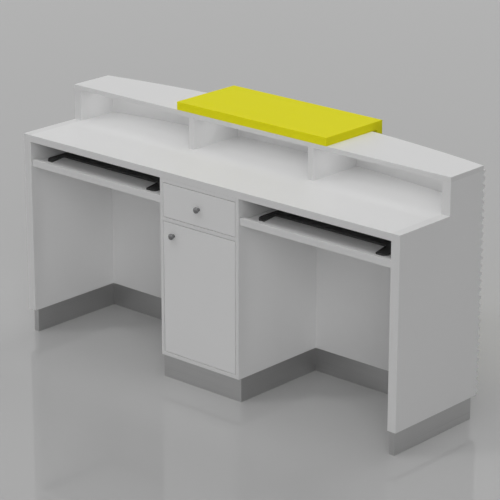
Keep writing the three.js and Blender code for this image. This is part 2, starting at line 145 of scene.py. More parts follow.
class DeskColours(bpy.types.PropertyGroup):
    """Colours of the desk's finishes and of its stage."""

    white: paint("White Laminate", "Broad faces of the white boards", (0.85, 0.85, 0.85))
    # painted shade: the narrow faces' colour is darker than the white to stand in for the weaker light on
    # them
    edging: paint("White Edging", "Narrow faces of the white boards", (0.79, 0.79, 0.79))
    yellow: paint("Yellow Lacquer", "The coloured top and front panel", (0.94, 0.89, 0.019))
    plinth: paint("Plinth Metal", "Brushed metal of the plinth", (0.6, 0.6, 0.6))
    zinc: paint("Zinc", "Plated steel of the slides and hinges", (0.6, 0.62, 0.64))
    steel: paint("Knob Steel", "Polished steel of the knobs", (0.28, 0.28, 0.285))
    black: paint("Black Plastic", "Moulded inserts of the keyboard trays", (0.03, 0.03, 0.03))
    board: paint("Bare Board", "Hidden formers and battens", (0.44, 0.29, 0.14))
    floor: paint("Floor", "The plain pale floor", (0.5, 0.5, 0.5))


class StageSettings(bpy.types.PropertyGroup):
    """Camera and light of the plain studio."""

    eye: FloatVectorProperty(
        name="Eye",
        description="Where the camera stands",
        subtype="TRANSLATION",
        unit="LENGTH",
        default=(5.8205, WORKTOP_FRONT - 6.1794, 3.5196),
    )
    azimuth: FloatProperty(
        name="Azimuth",
        description="Turn of the camera round the desk",
        subtype="ANGLE",
        default=math.radians(41.929),
    )
    elevation: FloatProperty(
        name="Elevation",
        description="How far the camera looks down",
        subtype="ANGLE",
        default=math.radians(19.017),
    )
    lens: FloatProperty(
        name="Lens",
        description="Focal length on a 36 mm sensor",
        default=164.18,
    )
    sky_light: strength("Sky Light", "Even light from all round", 0.05)
    overhead: strength("Overhead", "Strength of the broad lamp over the desk", 1.3)
    corner: strength("Corner", "Strength of the broad lamp above the camera", 0.55)
    low: strength("Low", "Strength of the broad lamp below the camera", 0.2)
    left: strength("Left", "Strength of the smaller lamp at the upper left", 0.28)
    rear: strength("Rear", "Strength of the broad lamp above the customer side", 0.32)
    strip: strength(
        "Counter Strip", "Watts from each square metre of the soft lamp under the counter", 1.85
    )
    knee: strength(
        "Knee Space", "Watts from each square metre of the soft lamps at the knee spaces", 0.4
    )
    backdrop: strength("Backdrop", "Grey that the camera sees beyond the floor", 0.682, max=1)
    canopy: strength(
        "Canopy",
        "How much brighter than the backdrop the studio's ceiling shows in polished metal",
        2.0,
    )


class Value:
    """A socket's value: a sum written with it adds the Math nodes to its tree."""

    def __init__(self, nodes, socket):
        self.nodes = nodes
        self.socket = socket

    def maths(self, operation, *terms):
        return self.nodes.add("ShaderNodeMath", {"operation": operation}, dict(enumerate(terms)))

    def __add__(self, other):
        return self.maths("ADD", self, other)

    def __sub__(self, other):
        return self.maths("SUBTRACT", self, other)

    def __rsub__(self, other):
        return self.maths("SUBTRACT", other, self)

    def __mul__(self, other):
        return self.maths("MULTIPLY", self, other)

    def __truediv__(self, other):
        return self.maths("DIVIDE", self, other)

    def __pow__(self, other):
        return self.maths("POWER", self, other)

    def __gt__(self, other):
        return self.maths("GREATER_THAN", self, other)

    __radd__ = __add__
    __rmul__ = __mul__


class NodeTree:
    """Adds nodes to a tree and links them."""

    def __init__(self, tree):
        self.tree = tree

    def add(self, kind, settings=None, inputs=None, output=0):
        """A node with its settings, its sockets' values or links, and one output as a Value."""
        node = self.tree.nodes.new(kind)
        for name, value in (settings or {}).items():
            if name == "stops":
                for stop, (place, shade) in zip(node.color_ramp.elements, value):
                    stop.position = place
                    stop.color = (shade, shade, shade, 1)
            else:
                setattr(node, name, value)
        for key, value in (inputs or {}).items():
            if isinstance(value, Value):
                self.tree.links.new(value.socket, node.inputs[key])
            else:
                node.inputs[key].default_value = value
        return Value(self, node.outputs[output]) if node.outputs else None


class Finish(NodeTree):
    """A material's tree, read on object coordinates."""

    def __init__(self, name):
        self.material = bpy.data.materials.new(name)
        self.material.use_nodes = True
        super().__init__(self.material.node_tree)
        self.tree.nodes.clear()
        self.place = self.add("ShaderNodeTexCoord", output="Object")

    def stretched(self, scale):
        return self.add("ShaderNodeMapping", {}, {"Vector": self.place, "Scale": scale})

    def noise(self, scale, detail=2.0, place=None):
        inputs = {"Vector": place or self.place, "Scale": scale, "Detail": detail}
        return self.add("ShaderNodeTexNoise", {}, inputs)

    def cells(self, scale, place=None):
        inputs = {"Vector": place or self.place, "Scale": scale}
        return self.add("ShaderNodeTexVoronoi", {}, inputs, "Color")

    def attribute(self, name):
        return self.add("ShaderNodeAttribute", {"attribute_name": name}, {}, "Fac")

    def ramp(self, value, *stops):
        return self.add("ShaderNodeValToRGB", {"stops": stops}, {"Fac": value})

    def mix(self, factor, first, second):
        inputs = {0: factor, 6: colour(first), 7: colour(second)}
        return self.add("ShaderNodeMix", {"data_type": "RGBA"}, inputs, 2)

    def bump(self, height, amount, distance):
        inputs = {"Height": height, "Strength": amount, "Distance": distance}
        return self.add("ShaderNodeBump", {}, inputs)

    def surface(self, base, roughness, **sockets):
        """Ends the tree in a Principled shader; sockets are named with underscores for spaces."""
        inputs = {"Base Color": colour(base), "Roughness": roughness}
        inputs.update({name.replace("_", " "): value for name, value in sockets.items()})
        shader = self.add("ShaderNodeBsdfPrincipled", {}, inputs)
        self.add("ShaderNodeOutputMaterial", {}, {"Surface": shader})
        return self.material


def colour(value):
    """A colour with its alpha, or a link as it is."""
    return value if isinstance(value, Value) else (*value, 1.0)


def tinted(shade, gain):
    return tuple(min(1.0, part * gain) for part in shade)


def white_laminate(finish, colours):
    """Satin melamine with a pearl grain and faint rub marks; the narrow faces take painted shade, a colour a
    shade darker than the sheet that stands in for the weaker light on them.
    """
    cloud = finish.noise(2.3, 4)
    pearl = finish.noise(900, 1)
    rubbed = finish.noise(7, 5, finish.stretched((1, 1, 4)))
    rub = finish.ramp(rubbed, (0.52, 0), (0.72, 1))
    edging = finish.attribute("edging")
    rim = finish.attribute("rim")
    sheet = finish.mix(cloud * 0.7, colours.white, tinted(colours.white, 0.975))
    # painted shade: the narrow faces take the darker colour
    base = finish.mix(edging, sheet, colours.edging)
    worn = finish.mix(rim * rub * 0.5, base, tinted(colours.white, 0.86))
    roughness = 0.36 + cloud * 0.08 + pearl * 0.06 - rub * 0.05 - rim * 0.05
    return finish.surface(worn, roughness, Normal=finish.bump(pearl, 0.05, 0.1 * MM))


def yellow_lacquer(finish, colours):
    """Sprayed satin lacquer with a fine orange peel."""
    cloud = finish.noise(3.1, 3)
    peel = finish.noise(260, 2)
    rub = finish.ramp(finish.noise(11, 5, finish.stretched((1, 3, 1))), (0.55, 0), (0.75, 1))
    rim = finish.attribute("rim")
    base = finish.mix(cloud * 0.6, colours.yellow, tinted(colours.yellow, 0.95))
    worn = finish.mix(rim * rub * 0.4, base, tinted(colours.yellow, 0.8))
    roughness = 0.3 + cloud * 0.08 + rub * 0.07
    normal = finish.bump(peel, 0.08, 0.15 * MM)
    return finish.surface(worn, roughness, Normal=normal, Specular_IOR_Level=0.01)


def brushed_metal(finish, colours):
    """Metal brushed along its length, with broad clouding and a few deeper lines."""
    brush = finish.noise(1, 5, finish.stretched((5, 5, 900)))
    line = finish.ramp(finish.noise(1, 2, finish.stretched((1.5, 1.5, 420))), (0.6, 0), (0.78, 1))
    cloud = finish.noise(5, 3)
    base = finish.mix(brush * 0.5 + cloud * 0.3, colours.plinth, tinted(colours.plinth, 0.82))
    scored = finish.mix(line * 0.35, base, tinted(colours.plinth, 0.6))
    roughness = 0.24 + brush * 0.2 + cloud * 0.08
    normal = finish.bump(brush, 0.12, 0.1 * MM)
    return finish.surface(scored, roughness, Metallic=1.0, Normal=normal)


def zinc_plate(finish, colours):
    """Bright zinc with a faint spangle and handling marks."""
    spangle = finish.cells(240)
    cloud = finish.noise(14, 4)
    base = finish.mix(spangle * 0.35 + cloud * 0.35, colours.zinc, tinted(colours.zinc, 0.78))
    roughness = 0.26 + spangle * 0.1 + cloud * 0.14
    normal = finish.bump(finish.noise(420, 2), 0.05, 0.1 * MM)
    return finish.surface(base, roughness, Metallic=1.0, Normal=normal)


def polished_steel(finish, colours):
    """Turned steel: fine rings from the lathe, read from the piece's own turning attribute."""
    turning = finish.attribute("turning")
    rings = finish.add("ShaderNodeMath", {"operation": "SINE"}, {0: turning * 9000})
    smear = finish.noise(90, 3)
    base = finish.mix(smear * 0.4, colours.steel, tinted(colours.steel, 0.85))
    roughness = 0.14 + smear * 0.1 + rings * 0.02
    normal = finish.bump(rings, 0.08, 0.05 * MM)
    return finish.surface(base, roughness, Metallic=1.0, Normal=normal)


def black_plastic(finish, colours):
    """Moulded plastic with an eroded grain, and high spots painted paler: rubbing wear and a painted
    highlight.
    """
    grain = finish.noise(850, 3)
    cloud = finish.noise(9, 3)
    rim = finish.attribute("rim")
    base = finish.mix(cloud * 0.5 + grain * 0.3, colours.black, tinted(colours.black, 2.0))
    # paler rim tops and bead crown: rubbing wear and a painted highlight
    rubbed = finish.mix(rim * 0.5, base, tinted(colours.black, 3.5))
    roughness = 0.42 + grain * 0.14 - rim * 0.1
    return finish.surface(rubbed, roughness, Normal=finish.bump(grain, 0.25, 0.12 * MM))


def bare_board(finish, colours):
    """Chipboard: flakes in several browns with dark glue between them."""
    flakes = finish.cells(150, finish.stretched((0.5, 0.5, 1)))
    fines = finish.noise(520, 3)
    base = finish.mix(flakes, tinted(colours.board, 0.72), tinted(colours.board, 1.25))
    flecked = finish.mix(fines * 0.4, base, tinted(colours.board, 0.5))
    return finish.surface(flecked, 0.78 + fines * 0.12, Normal=finish.bump(fines, 0.4, 0.3 * MM))


def pale_floor(finish, colours):
    """Sealed studio floor, a little glossy."""
    cloud = finish.noise(0.7, 3)
    base = finish.mix(cloud * 0.5, colours.floor, tinted(colours.floor, 0.97))
    return finish.surface(base, 0.02 + cloud * 0.02)


FINISHES = {
    "white_laminate": white_laminate,
    "yellow_laminate": yellow_lacquer,
    "brushed_metal": brushed_metal,
    "zinc_steel": zinc_plate,
    "polished_steel": polished_steel,
    "black_plastic": black_plastic,
    "bare_board": bare_board,
    "pale_floor": pale_floor,
}
made_finishes = {}


def material(name):
    """The finish of that name, made when it is first asked for."""
    if name not in made_finishes:
        made_finishes[name] = FINISHES[name](Finish(name), bpy.context.scene.desk_colours)
    return made_finishes[name]


def link(name, data):
    made = bpy.data.objects.new(name, data)
    bpy.context.scene.collection.objects.link(made)
    return made


def place_piece(name, mesh, body, slot, *nodes):
    """A finished mesh as a piece on its body, standing for the CAD nodes named."""
    piece = link(name, mesh)
    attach(piece, body)
    if nodes:
        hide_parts(*nodes)


def place_node(shape, node, ending="finished"):
    """A shape as the piece that stands for one CAD node, on the node's body and with its finish."""
    name, slot = f"{node}_{ending}", SLOT_OF[node]
    place_piece(name, mesh_of(shape, name, slot), BODY_OF[node], slot, node)


def order_faces(shape):
    """Puts the faces in the order of their corners, as rounding leaves them in no fixed order."""
    shape.verts.index_update()
    count = len(shape.verts)

    def rank(face):
        first, second, third = sorted(vertex.index for vertex in face.verts)[:3]
        return (first * count + second) * count + third

    shape.faces.sort(key=rank)


def mesh_of(shape, name, slot):
    """The bmesh as a mesh with its finish."""
    order_faces(shape)
    mesh = bpy.data.meshes.new(name)
    shape.to_mesh(mesh)
    shape.free()
    mesh.materials.append(material(slot))
    return mesh


def new_shape():
    """An empty bmesh with the attributes that the finishes read."""
    shape = bmesh.new()
    for name in ("edging", "rim"):
        shape.faces.layers.float.new(name)
    return shape


def solid_trees():
    """Each CAD node's box and search tree."""
    trees = {}
    for name, node in frame["nodes"].items():
        corners = [vertex.co.copy() for vertex in node.data.vertices]
        faces = [list(face.vertices) for face in node.data.polygons]
        trees[name] = (*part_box(name), BVHTree.FromPolygons(corners, faces))
    return trees


SOLIDS = solid_trees()


def in_other_solid(point, node):
    """Whether a point lies in a CAD node other than the one named."""
    for name, (low, high, tree) in SOLIDS.items():
        if name == node or any(not low[i] <= point[i] <= high[i] for i in range(3)):
            continue
        spot, normal = tree.find_nearest(point)[:2]
        if (point - spot).dot(normal) < 0:
            return True
    return False


def exposed(edge, node):
    """Whether most of an edge is free of the boards beside it."""
    first, second = (face.normal for face in edge.link_faces)
    start, end = (vertex.co for vertex in edge.verts)
    covered = 0
    for share in EDGE_SAMPLES:
        point = start.lerp(end, share)
        probes = (point + (first - second) * EDGE_PROBE, point + (second - first) * EDGE_PROBE)
        covered += any(in_other_solid(probe, node) for probe in probes)
    return covered * 2 < len(EDGE_SAMPLES)


def sharp_edges(shape):
    joined = [edge for edge in shape.edges if len(edge.link_faces) == 2]
    return [edge for edge in joined if edge.calc_face_angle() > SHARP_ANGLE]


def round_edges(shape, edges, radius, segments=3):
    """Rounds edges and marks the new faces as rim; the shading stays flat beside them."""
    made = bmesh.ops.bevel(
        shape,
        geom=edges,
        offset=radius,
        offset_type="OFFSET",
        segments=segments,
        profile=0.5,
        affect="EDGES",
        clamp_overlap=True,
    )
    rounded = set(made["faces"])
    rim = shape.faces.layers.float["rim"]
    for face in shape.faces:
        if face in rounded:
            face[rim] = 1.0
            face.smooth = True
        else:
            face.smooth = any(bowed(edge, rounded) for edge in face.edges)
    for edge in shape.edges:
        if len({face in rounded for face in edge.link_faces}) == 2:
            edge.smooth = False


def bowed(edge, rounded):
    """Whether an edge lies between two facets of one curve."""
    if len(edge.link_faces) != 2 or any(face in rounded for face in edge.link_faces):
        return False
    return FLAT_ANGLE < edge.calc_face_angle() < BOW_ANGLE


def cad_shape(node):
    """A CAD node's shape with its triangles merged into flat faces."""
    shape = new_shape()
    shape.from_mesh(frame["nodes"][node].data)
    bmesh.ops.remove_doubles(shape, verts=shape.verts, dist=MERGE_DISTANCE)
    bmesh.ops.dissolve_limit(shape, angle_limit=FLAT_ANGLE, verts=shape.verts, edges=shape.edges)
    return shape


def dress_node(node, radius):
    """A CAD board or profile with its exposed edges rounded and its narrow faces marked for the laminate's
    painted shade.
    """
    shape = cad_shape(node)
    round_edges(shape, [edge for edge in sharp_edges(shape) if exposed(edge, node)], radius)
    low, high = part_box(node)
    thin = min(range(3), key=lambda axis: high[axis] - low[axis])
    edging = shape.faces.layers.float["edging"]
    for face in shape.faces:
        face[edging] = float(abs(face.normal[thin]) < EDGING_LEAN)
    place_node(shape, node)


def dress_nodes(nodes, radius):
    for node in nodes:
        dress_node(node, radius)


def bridge(shape, lower, upper):
    """Faces between two closed rings of vertices; a ring of one vertex is a tip."""
    count = max(len(lower), len(upper))
    faces = []
    for i in range(count):
        j = (i + 1) % count
        corners = [lower[i % len(lower)], lower[j % len(lower)]]
        corners += [upper[j % len(upper)], upper[i % len(upper)]]
        faces.append(shape.faces.new(list(dict.fromkeys(corners))))
    return faces


def draw_out(shape, outline, travel):
    """A closed outline of points, drawn out along travel."""
    lower = [shape.verts.new(point) for point in outline]
    upper = [shape.verts.new(point + travel) for point in outline]
    faces = [shape.faces.new(lower), shape.faces.new(upper)]
    faces += bridge(shape, lower, upper)
    bmesh.ops.recalc_face_normals(shape, faces=faces)


def add_block(shape, low, high):
    """A square block between two corners."""
    corners = [(low.x, low.y), (high.x, low.y), (high.x, high.y), (low.x, high.y)]
    outline = [Vector((x, y, low.z)) for x, y in corners]
    draw_out(shape, outline, Z_AXIS * (high.z - low.z))


def turn(shape, profile, centre, axis, segments=40):
    """Turns (radius, height) pairs round an axis and keeps the radius as the turning attribute."""
    turning = shape.verts.layers.float.get("turning") or shape.verts.layers.float.new("turning")
    across = axis.orthogonal().normalized()
    beside = axis.cross(across)
    rings = []
    for radius, height in profile:
        spots = segments if radius else 1
        ring = []
        for i in range(spots):
            angle = 2 * math.pi * i / spots
            arm = (across * math.cos(angle) + beside * math.sin(angle)) * radius
            vertex = shape.verts.new(centre + axis * height + arm)
            vertex[turning] = radius
            ring.append(vertex)
        rings.append(ring)
    faces = []
    for lower, upper in zip(rings, rings[1:]):
        faces += bridge(shape, lower, upper)
    bmesh.ops.recalc_face_normals(shape, faces=faces)
    for face in faces:
        face.smooth = True


def mark_sharp(shape):
    for edge in sharp_edges(shape):
        edge.smooth = False


class DESK_OT_shell(bpy.types.Operator):
    """Dress the worktop, counter, end panels, pigeonholes and back"""

    bl_idname = "desk.shell"
    bl_label = "Shell Boards"

    def execute(self, context):
        sizes = context.scene.desk_sizes
        ends = [f"end_panel_{side}" for side in SIDES]
        dividers = [f"pigeonhole_divider_{side}" for side in SIDES]
        boards = ["worktop", "counter_top", "back_board", "bent_skin"]
        dress_nodes(ends + dividers + boards, sizes.board_edge)
        dress_nodes(["former_bottom", "former_middle"], sizes.board_edge)
        return {"FINISHED"}


class DESK_OT_wave_panels(bpy.types.Operator):
    """Build the wave-faced cladding of the customer side"""

    bl_idname = "desk.wave_panels"
    bl_label = "Wave Panels"

    def execute(self, context):
        sizes = context.scene.desk_sizes
        half = COUNTER_HIGH.x
        tree, sockets = wave_tree()
        for side in SIDES:
            node = f"wave_panel_{side}"
            low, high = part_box(node)
            values = {
                "Start": low.x,
                "End": high.x,
                "Foot": low.z,
                "Top": high.z,
                "Apex": COUNTER_HIGH.y,
                "Bow Radius": (half**2 + sizes.bow**2) / (2 * sizes.bow),
                "Wave Depth": sizes.wave_depth,
                "Wave Pitch": sizes.wave_pitch,
                "Cladding": sizes.cladding,
                "Material": material("white_laminate"),
            }
            name = f"{node}_finished"
            mesh = grown_mesh(name, bpy.data.meshes.new(name), tree, sockets, values)
            mesh.set_sharp_from_angle(angle=SHARP_ANGLE)
            place_piece(name, mesh, "carcass", "white_laminate", node)
        return {"FINISHED"}


class DESK_OT_accent(bpy.types.Operator):
    """Dress the coloured top and front panel and the battens behind it"""

    bl_idname = "desk.accent"
    bl_label = "Accent Panel"

    def execute(self, context):
        sizes = context.scene.desk_sizes
        dress_nodes(["accent_top", "accent_front"], sizes.accent_edge)
        dress_nodes([f"accent_batten_{side}" for side in SIDES], sizes.board_edge)
        return {"FINISHED"}


class DESK_OT_plinth(bpy.types.Operator):
    """Dress the brushed metal plinth"""

    bl_idname = "desk.plinth"
    bl_label = "Plinth"

    def execute(self, context):
        sizes = context.scene.desk_sizes
        sections = ("left", "right", "cabinet_left", "cabinet_right", "cabinet_front", "bowed", "back")
        dress_nodes([f"plinth_{section}" for section in sections], sizes.metal_edge)
        return {"FINISHED"}


class DESK_OT_cabinet(bpy.types.Operator):
    """Dress the boards of the pedestal"""

    bl_idname = "desk.cabinet"
    bl_label = "Pedestal Boards"

    def execute(self, context):
        sizes = context.scene.desk_sizes
        sides = [f"{board}_{side}" for board in ("cabinet_side", "shelf_batten") for side in SIDES]
        boards = ["cabinet_bottom", "cabinet_divider", "cabinet_top_rail", "cabinet_shelf"]
        dress_nodes(sides + boards, sizes.board_edge)
        return {"FINISHED"}


class DESK_OT_drawer(bpy.types.Operator):
    """Dress the boards of the drawer"""

    bl_idname = "desk.drawer"
    bl_label = "Drawer Boards"

    def execute(self, context):
        sizes = context.scene.desk_sizes
        boards = ["drawer_front", "drawer_side_left", "drawer_side_right", "drawer_back", "drawer_floor"]
        dress_nodes(boards, sizes.board_edge)
        return {"FINISHED"}


class DESK_OT_door(bpy.types.Operator):
    """Dress the cupboard door and build its hinges"""

    bl_idname = "desk.door"
    bl_label = "Door and Hinges"

    def execute(self, context):
        sizes = context.scene.desk_sizes
        dress_nodes(["door_panel"], sizes.board_edge)
        for place in ("upper", "lower"):
            build_hinge_cup(f"hinge_cup_{place}")
            build_hinge_arm(f"hinge_arm_{place}")
        return {"FINISHED"}


class DESK_OT_knobs(bpy.types.Operator):
    """Turn the drawer's and the door's knobs"""

    bl_idname = "desk.knobs"
    bl_label = "Knobs"

    def execute(self, context):
        for node in ("drawer_knob", "door_knob"):
            build_knob(node)
        return {"FINISHED"}


class DESK_OT_trays(bpy.types.Operator):
    """Dress the keyboard trays and mould their black inserts"""

    bl_idname = "desk.trays"
    bl_label = "Keyboard Trays"

    def execute(self, context):
        sizes = context.scene.desk_sizes
        for side in SIDES:
            dress_node(f"tray_shelf_{side}", sizes.board_edge)
            build_insert(f"tray_insert_{side}", sizes)
            build_stop(side, sizes)
        return {"FINISHED"}


class DESK_OT_slides(bpy.types.Operator):
    """Build the channels and runners of the drawer and the trays"""

    bl_idname = "desk.slides"
    bl_label = "Slides"

    def execute(self, context):
        sizes = context.scene.desk_sizes
        for group in ("drawer", "tray_left", "tray_right"):
            kind = "drawer" if group == "drawer" else "tray"
            tail = group[len(kind) :]
            for side, sign in SIDES.items():
                dress_node(f"{kind}_channel{tail}_{side}", sizes.metal_edge)
                build_runner(f"{kind}_runner{tail}_{side}", -sign, kind == "tray")
        return {"FINISHED"}


class DESK_OT_screws(bpy.types.Operator):
    """Set the screws of the slides, hinges and battens"""

    bl_idname = "desk.screws"
    bl_label = "Screws"

    def execute(self, context):
        sizes = context.scene.desk_sizes
        tree, sockets = screw_tree()
        for name, body, radius, height, spots in screw_groups(sizes):
            mesh = bpy.data.meshes.new(name)
            mesh.from_pydata([spot for spot, _ in spots], [], [])
            facing = mesh.attributes.new("facing", "FLOAT_VECTOR", "POINT")
            facing.data.foreach_set("vector", [part for _, way in spots for part in way])
            values = {"Head Radius": radius, "Head Height": height, "Material": material("zinc_steel")}
            place_piece(name, grown_mesh(name, mesh, tree, sockets, values), body, "zinc_steel")
        return {"FINISHED"}


class DESK_OT_stage(bpy.types.Operator):
    """Lay the floor and set the light and the camera"""

    bl_idname = "desk.stage"
    bl_label = "Stage"

    def execute(self, context):
        scene = context.scene
        build_floor()
        build_lights(scene)
        build_camera(scene)
        scene.view_settings.view_transform = "Standard"
        return {"FINISHED"}


def geometry_tree(name, lengths, with_mesh):
    """A Geometry Nodes tree with named lengths and a material, and each input's identifier."""
    tree = bpy.data.node_groups.new(name, "GeometryNodeTree")
    tree.is_modifier = True
    tree.interface.new_socket("Geometry", in_out="OUTPUT", socket_type="NodeSocketGeometry")
    if with_mesh:
        tree.interface.new_socket("Geometry", in_out="INPUT", socket_type="NodeSocketGeometry")
    inputs = [(label, "NodeSocketFloat") for label in lengths] + [("Material", "NodeSocketMaterial")]
    sockets = {}
    for label, kind in inputs:
        sockets[label] = tree.interface.new_socket(label, in_out="INPUT", socket_type=kind).identifier
    return tree, sockets


def tree_inputs(nodes):
    """A tree's inputs as values, by name."""
    entry = nodes.add("NodeGroupInput").socket.node
    return {socket.name: Value(nodes, socket) for socket in entry.outputs if socket.name}


def end_tree(nodes, geometry, finish):
    """Ends a tree in Realize Instances and Set Material."""
    realised = nodes.add("GeometryNodeRealizeInstances", {}, {"Geometry": geometry})
    painted = nodes.add("GeometryNodeSetMaterial", {}, {"Geometry": realised, "Material": finish})
    nodes.add("NodeGroupOutput", {}, {0: painted})


def grown_mesh(name, mesh, tree, sockets, values):
    """What a Geometry Nodes tree makes of a mesh, as a plain mesh."""
    seed = link(f"{name}_seed", mesh)
    modifier = seed.modifiers.new(tree.name, "NODES")
    modifier.node_group = tree
    for label, value in values.items():
        modifier[sockets[label]] = value
    evaluated = seed.evaluated_get(bpy.context.evaluated_depsgraph_get())
    grown = bpy.data.meshes.new_from_object(evaluated)
    grown.name = name
    seed.modifiers.clear()
    bpy.data.objects.remove(seed)
    if not grown.polygons:
        raise RuntimeError(f"{name}: its tree made no faces")
    return grown


WAVE_COLUMNS = 26
WAVE_ROWS = 345


def wave_tree():
    """Cladding that follows the bow, flat behind and waved in front with a crest at the top."""
    lengths = ("Start", "End", "Foot", "Top", "Apex")
    lengths += ("Bow Radius", "Wave Depth", "Wave Pitch", "Cladding")
    tree, sockets = geometry_tree("wave_cladding", lengths, with_mesh=False)
    nodes = NodeTree(tree)
    given = tree_inputs(nodes)
    spans = {"X": given["End"] - given["Start"], "Y": given["Cladding"], "Z": given["Top"] - given["Foot"]}
    size = nodes.add("ShaderNodeCombineXYZ", {}, spans)
    counts = {"Vertices X": WAVE_COLUMNS, "Vertices Y": 2, "Vertices Z": WAVE_ROWS}
    cube = nodes.add("GeometryNodeMeshCube", {}, {"Size": size, **counts})
    here = nodes.add("GeometryNodeInputPosition")
    x, y, z = (nodes.add("ShaderNodeSeparateXYZ", {}, {0: here}, axis) for axis in range(3))
    along = x + (given["Start"] + given["End"]) * 0.5
    height = z + (given["Foot"] + given["Top"]) * 0.5
    radius = given["Bow Radius"]
    bow = given["Apex"] - radius + (radius * radius - along * along) ** 0.5
    turns = (given["Top"] - height) / given["Wave Pitch"] * (2 * math.pi)
    cosine = nodes.add("ShaderNodeMath", {"operation": "COSINE"}, {0: turns})
    crest = given["Wave Depth"] * 0.5 * (cosine + 1)
    front = y > 0
    depth = bow + front * crest - (1 - front) * given["Cladding"]
    place = nodes.add("ShaderNodeCombineXYZ", {}, {"X": along, "Y": depth, "Z": height})
    shaped = nodes.add("GeometryNodeSetPosition", {}, {"Geometry": cube, "Position": place})
    end_tree(nodes, shaped, given["Material"])
    return tree, sockets


SCREW_SEED = 7
SCREW_SIDES = 20
SCREW_CROWN = 0.72  # of the head's radius
CROSS_LENGTH, CROSS_WIDTH = 1.05, 0.24  # of the head's radius
CROSS_LIFTS = (0.95, 0.8)  # of the head's height; unequal, so that no two floors lie in one plane


def screw_tree():
    """Cross-headed screws on the points of a mesh, each standing along the point's facing attribute."""
    tree, sockets = geometry_tree("screw_heads", ("Head Radius", "Head Height"), with_mesh=True)
    nodes = NodeTree(tree)
    given = tree_inputs(nodes)
    radius, height = given["Head Radius"], given["Head Height"]
    cone = {"Vertices": SCREW_SIDES, "Depth": height}
    cone.update({"Radius Bottom": radius, "Radius Top": radius * SCREW_CROWN})
    head = nodes.add("GeometryNodeMeshCone", {}, cone)
    spans = ((CROSS_LENGTH, CROSS_WIDTH), (CROSS_WIDTH, CROSS_LENGTH))
    for (x, y), lift in zip(spans, CROSS_LIFTS):
        size = nodes.add("ShaderNodeCombineXYZ", {}, {"X": radius * x, "Y": radius * y, "Z": height})
        block = nodes.add("GeometryNodeMeshCube", {}, {"Size": size})
        rise = nodes.add("ShaderNodeCombineXYZ", {}, {"Z": height * lift})
        bar = nodes.add("GeometryNodeTransform", {}, {"Geometry": block, "Translation": rise})
        cut = {"operation": "DIFFERENCE"}
        head = nodes.add("GeometryNodeMeshBoolean", cut, {"Mesh 1": head, "Mesh 2": bar})
    points = nodes.add("GeometryNodeMeshToPoints", {}, {"Mesh": given["Geometry"]})
    vector = {"data_type": "FLOAT_VECTOR"}
    facing = nodes.add("GeometryNodeInputNamedAttribute", vector, {"Name": "facing"})
    stand = nodes.add("FunctionNodeAlignRotationToVector", {"axis": "Z"}, {"Vector": facing})
    placed = {"Points": points, "Instance": head, "Rotation": stand}
    screws = nodes.add("GeometryNodeInstanceOnPoints", {}, placed)
    draw = {"Max": math.pi, "Seed": SCREW_SEED}
    turned = nodes.add("FunctionNodeRandomValue", {"data_type": "FLOAT"}, draw, 1)
    spin = nodes.add("ShaderNodeCombineXYZ", {}, {"Z": turned})
    spun = nodes.add("GeometryNodeRotateInstances", {}, {"Instances": screws, "Rotation": spin})
    end_tree(nodes, spun, given["Material"])
    return tree, sockets


CHANNEL_WALL = 1.6 * MM
RUNNER_FLANGE = 2 * MM
RUNNER_LEG = 1.6 * MM
RUNNER_LIP = 3 * MM
RUNNER_LIP_WALL = 1.2 * MM
RUNNER_EDGE = 0.25 * MM
SLIDE_PLAY = 0.3 * MM  # runner to the channel's walls
CLEAT_SHARES = (0.12, 0.5, 0.88)
CLEAT_HALF = 11 * MM
CLEAT_REACH = 22 * MM
CLEAT_PLATE = 1.5 * MM
CLEAT_SCREW = 0.6  # of the cleat's reach


def runner_planes(node, facing):
    """A runner's tip, flange face and flange back along X."""
    low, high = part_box(node)
    tip, back = (low.x, high.x) if facing > 0 else (high.x, low.x)
    return tip, back - facing * RUNNER_FLANGE, back


def build_runner(node, facing, with_cleats):
    """A rolled runner, open towards the channel, with cleats under a tray."""
    low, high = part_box(node)
    tip, face, back = runner_planes(node, facing)
    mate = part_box(node.replace("runner", "channel"))
    foot = mate[0].z + CHANNEL_WALL + SLIDE_PLAY
    top = mate[1].z - CHANNEL_WALL - SLIDE_PLAY
    lip = tip + facing * RUNNER_LIP_WALL
    section = [
        (back, low.z),
        (back, high.z),
        (face, high.z),
        (face, top),
        (tip, top),
        (tip, top - RUNNER_LIP),
        (lip, top - RUNNER_LIP),
        (lip, top - RUNNER_LEG),
        (face, top - RUNNER_LEG),
        (face, foot + RUNNER_LEG),
        (lip, foot + RUNNER_LEG),
        (lip, foot + RUNNER_LIP),
        (tip, foot + RUNNER_LIP),
        (tip, foot),
        (face, foot),
        (face, low.z),
    ]
    shape = new_shape()
    draw_out(shape, [Vector((x, low.y, z)) for x, z in section], Y_AXIS * (high.y - low.y))
    if with_cleats:
        for share in CLEAT_SHARES:
            middle = low.y + (high.y - low.y) * share
            for reach, rise in ((CLEAT_PLATE, high.z - low.z), (CLEAT_REACH, CLEAT_PLATE)):
                ends = sorted((back, back + facing * reach))
                start = Vector((ends[0], middle - CLEAT_HALF, high.z - rise))
                add_block(shape, start, Vector((ends[1], middle + CLEAT_HALF, high.z)))
    round_edges(shape, sharp_edges(shape), RUNNER_EDGE, 2)
    place_node(shape, node)


KNOB_STEM = 4 * MM
KNOB_HEAD = 13 * MM
KNOB_EDGE = 1.6 * MM
KNOB_DOME = 3 * MM  # rise of the head's face
KNOB_BEND = (0.3, 0.35)  # inwards and back, in shares of the edge, where its rounding turns
KNOB_SIDES = 56
DOME_STEPS = 8
STEM_START = 3.2 * MM
ROSETTE = ((0, 0), (7.5, 0), (7.5, 0.8), (6.9, 1.5), (5.2, 2.0))  # radius and height, mm
FLARE = ((0, 6), (0.8, 4.2), (2.2, 2.2), (4, 0.6))  # past the stem's radius, and short of the head, mm
SHOULDER = ((2.2, 0.6), (0.7, 1.8), (0, 3.2))  # short of the head's radius, and past its back, mm


